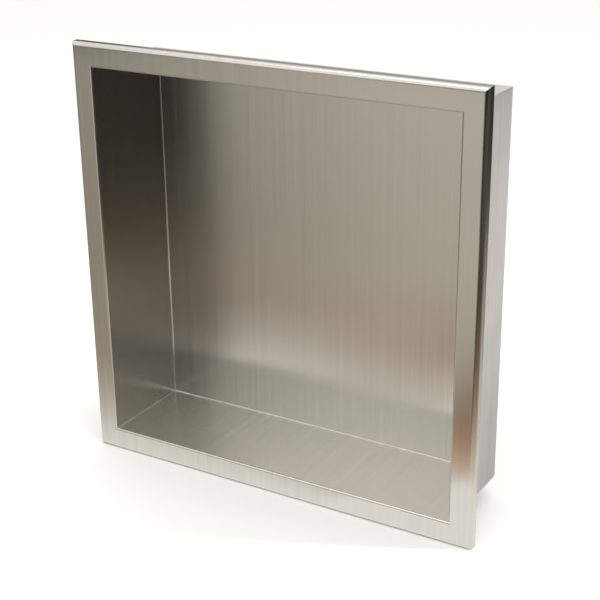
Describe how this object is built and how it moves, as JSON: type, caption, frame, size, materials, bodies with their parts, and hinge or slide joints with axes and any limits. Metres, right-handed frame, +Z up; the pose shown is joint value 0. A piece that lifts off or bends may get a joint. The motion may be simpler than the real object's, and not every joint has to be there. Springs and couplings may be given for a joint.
{
  "type": "shower niche insert",
  "caption": "Square shower niche insert folded from brushed stainless sheet: an open box with a flat border and a rounded turned-back rim, set into a tiled wall to hold bottles.",
  "frame": {"origin": "middle of the rear face of the back panel", "axes": "+X right seen from the front, +Y into the wall, +Z up; the open front faces -Y"},
  "size_m": [0.4064, 0.1016, 0.4064],
  "materials": {
    "brushed_stainless": "satin brushed stainless steel, grain upright on the back, side walls and border"
  },
  "bodies": {
    "root": {"niche_body": "brushed_stainless"}
  },
  "joints": []
}
